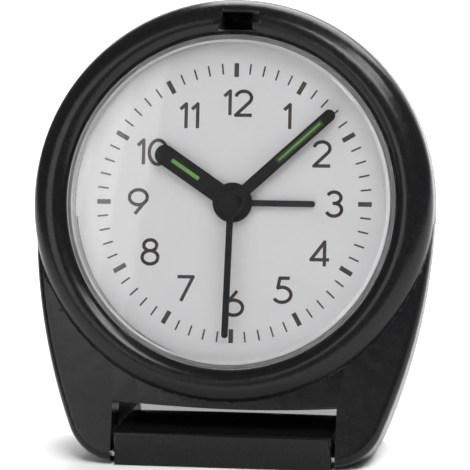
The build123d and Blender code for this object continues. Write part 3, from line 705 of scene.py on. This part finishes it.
# closed profiles of (radius, level) in millimetres; the points at 28.4 keep the lens faces flat
LENS_PROFILE = ((0, 4.0), (28.4, 4.0), (28.9, 4.0), (29.0, 3.9), (29.0, 0.75), (30.0, 0.75),
                (30.0, 3.66), (29.93, 3.78), (28.82, 4.93), (28.68, 5.0), (28.4, 5.0), (0, 5.0))
# the ring profile below is a pale ring under the lens skirt and up its outer wall: painted highlight for the
# light caught in the lens rim
RIM_HIGHLIGHT_PROFILE = ((28.95, 0.62), (30.08, 0.62), (30.08, 3.55), (30.03, 3.55), (30.03, 0.70), (28.95, 0.70))


class CLOCK_OT_lens(bpy.types.Operator):
    """Make the clear lens and a pale ring of painted highlight around its rim"""

    bl_idname = "clock.lens"
    bl_label = "Lens"

    def execute(self, context):
        segments = context.scene.clock_sizes.segments
        cup = partial(turned, LENS_PROFILE, segments)
        lens = new_piece("lens_finished", cup, clear_acrylic(), "case", DIAL_FRAME, LENS_SMOOTH_ANGLE)
        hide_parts("lens")
        # a pale satin ring under the lens skirt and along its outer wall: painted highlight standing in for
        # the light that the lens rim catches
        pale = moulded_satin("painted_rim_highlight", (0.62, 0.62, 0.61), 0.4)
        new_piece("lens_rim_painted_highlight", partial(turned, RIM_HIGHLIGHT_PROFILE, segments), pale, "case", DIAL_FRAME)
        return {"FINISHED"}


class CLOCK_OT_controls(bpy.types.Operator):
    """Dress the knobs and the switch at the back"""

    bl_idname = "clock.controls"
    bl_label = "Knobs and switch"

    def execute(self, context):
        black = moulded_satin("knob_satin", (0.018, 0.018, 0.018), 0.42)
        grey = moulded_satin("switch_satin", (0.16, 0.16, 0.165), 0.45)
        dressed("time_set_knob", black)
        dressed("alarm_set_knob", black)
        dressed("alarm_switch", grey, rounding=0.15 * MM)
        return {"FINISHED"}


class CLOCK_OT_movement(bpy.types.Operator):
    """Dress the movement, the battery and the other inner pieces"""

    bl_idname = "clock.movement"
    bl_label = "Movement and battery"

    def execute(self, context):
        acetal = moulded_satin("white_acetal", (0.72, 0.72, 0.69), 0.4)
        natural = moulded_satin("natural_plate", (0.55, 0.55, 0.50), 0.45)
        finishes = {
            "movement_front_plate": natural, "movement_rear_plate": natural,
            "rotor": worked_metal("sintered_magnet", (0.20, 0.20, 0.22), 0.5),
            "stator": worked_metal("rolled_iron", (0.45, 0.45, 0.45), 0.4),
            "coil": wound_wire((0.60, 0.26, 0.10)),
            "circuit_board": circuit_lacquer((0.02, 0.11, 0.04)),
            "buzzer": worked_metal("thin_brass", (0.70, 0.52, 0.22), 0.3),
            "battery_tray": moulded_satin("tray_satin", (0.02, 0.02, 0.02), 0.45),
            "battery": worked_metal("cell_sleeve", (0.10, 0.11, 0.13), 0.3, metallic=0.7),
            "plus_contact": worked_metal("nickel_plate", (0.70, 0.68, 0.62), 0.25),
            "minus_contact": worked_metal("nickel_spring", (0.70, 0.68, 0.62), 0.25),
        }
        for wheel in ("second", "third", "minute", "motion", "hour", "alarm", "step"):
            finishes[wheel + "_wheel"] = acetal
        for node, material in finishes.items():
            dressed(node, material)
        return {"FINISHED"}


FLOOR_WIDTH = 6.0
SKY_STRENGTH = 0.16
LEFT_CARDS = 3


class CLOCK_OT_stage(bpy.types.Operator):
    """Set the floor, the studio lights and the camera"""

    bl_idname = "clock.stage"
    bl_label = "Stage"

    def execute(self, context):
        scene = context.scene
        sheet = bmesh.new()
        half = FLOOR_WIDTH / 2
        corners = ((-half, -half, 0), (half, -half, 0), (half, half, 0), (-half, half, 0))
        sheet.faces.new([sheet.verts.new(corner) for corner in corners])
        piece_from(sheet, "floor", floor_paper())

        world = bpy.data.worlds.new("studio")
        world.use_nodes = True
        background = world.node_tree.nodes["Background"].inputs
        background["Color"].default_value = (1, 1, 1, 1)
        background["Strength"].default_value = SKY_STRENGTH
        scene.world = world

        light_at("back_box", (0.15, 0.75, 1.00), 1.2, 0.8, 24)
        light_at("back_card", (0.0, 1.20, 0.40), 2.0, 0.8, 8)
        light_at("key_box", (0.45, -0.20, 0.76), 0.30, 0.20, 2.5)
        for step in range(LEFT_CARDS):
            light_at(f"left_card_{step}", (-0.47 - 0.012 * step, -0.85, 0.36), 0.50, 0.50, 0.7)
        light_at("front_box", (0.35, -0.75, 1.05), 0.60, 0.40, 11.0)
        add_camera(scene)
        return {"FINISHED"}


def light_at(name, place, width, height, power):
    """A soft rectangular lamp that looks at the dial."""
    lamp = bpy.data.lights.new(name, "AREA")
    lamp.shape = "RECTANGLE"
    lamp.size, lamp.size_y = width, height
    lamp.energy = power
    holder = bpy.data.objects.new(name, lamp)
    bpy.context.scene.collection.objects.link(holder)
    holder.location = place
    holder.rotation_euler = (DIAL_CENTRE - Vector(place)).to_track_quat("-Z", "Y").to_euler()


CAMERA_DISTANCE, CAMERA_ROLL = 0.899, radians(1.78)
SENSOR_WIDTH, FOCAL_LENGTH = 36.0, 383.0


def add_camera(scene):
    """A long lens, a little to the right of the dial and a little above it, slightly rolled."""
    toward = (ACROSS * 0.2040 - DIAL_UP * 0.0508 + DIAL_OUT * 0.9777).normalized()
    flat_right = ACROSS * 0.979 - DIAL_OUT * 0.204
    flat_up = ACROSS * 0.0104 + DIAL_UP * 0.9987 + DIAL_OUT * 0.0508
    right = (flat_right * cos(CAMERA_ROLL) + flat_up * sin(CAMERA_ROLL)).normalized()
    up = toward.cross(right).normalized()
    right = up.cross(toward).normalized()
    lens = bpy.data.cameras.new("camera")
    lens.sensor_width, lens.lens = SENSOR_WIDTH, FOCAL_LENGTH
    lens.shift_x, lens.shift_y = 0.0018, -0.068
    lens.clip_start, lens.clip_end = 0.01, 20.0
    camera = bpy.data.objects.new("camera", lens)
    scene.collection.objects.link(camera)
    place = DIAL_CENTRE + toward * CAMERA_DISTANCE
    camera.matrix_world = Matrix((
        (right.x, up.x, toward.x, place.x),
        (right.y, up.y, toward.y, place.y),
        (right.z, up.z, toward.z, place.z),
        (0, 0, 0, 1),
    ))
    scene.camera = camera
    scene.view_settings.view_transform = "Standard"


class CLOCK_PT_panel(bpy.types.Panel):
    """Steps of the clock, in order"""

    bl_label = "Travel alarm clock"
    bl_idname = "CLOCK_PT_panel"
    bl_space_type = "VIEW_3D"
    bl_region_type = "UI"
    bl_category = "Clock"

    def draw(self, context):
        for step in STEPS:
            self.layout.operator(step.bl_idname)
        for group in (context.scene.clock_sizes, context.scene.clock_colours):
            box = self.layout.box()
            for name in group.__annotations__:
                box.prop(group, name)


STEPS = (CLOCK_OT_case, CLOCK_OT_dial, CLOCK_OT_hands, CLOCK_OT_lens, CLOCK_OT_controls, CLOCK_OT_movement,
         CLOCK_OT_stage)
CLASSES = (ClockSizes, ClockColours) + STEPS + (CLOCK_PT_panel,)


def register():
    for entry in CLASSES:
        bpy.utils.register_class(entry)
    bpy.types.Scene.clock_sizes = PointerProperty(type=ClockSizes)
    bpy.types.Scene.clock_colours = PointerProperty(type=ClockColours)


def unregister():
    del bpy.types.Scene.clock_colours
    del bpy.types.Scene.clock_sizes
    for entry in reversed(CLASSES):
        bpy.utils.unregister_class(entry)


def main():
    register()
    bpy.ops.clock.case()
    bpy.ops.clock.dial()
    bpy.ops.clock.hands()
    bpy.ops.clock.lens()
    bpy.ops.clock.controls()
    bpy.ops.clock.movement()
    bpy.ops.clock.stage()


if __name__ == "__main__":
    main()
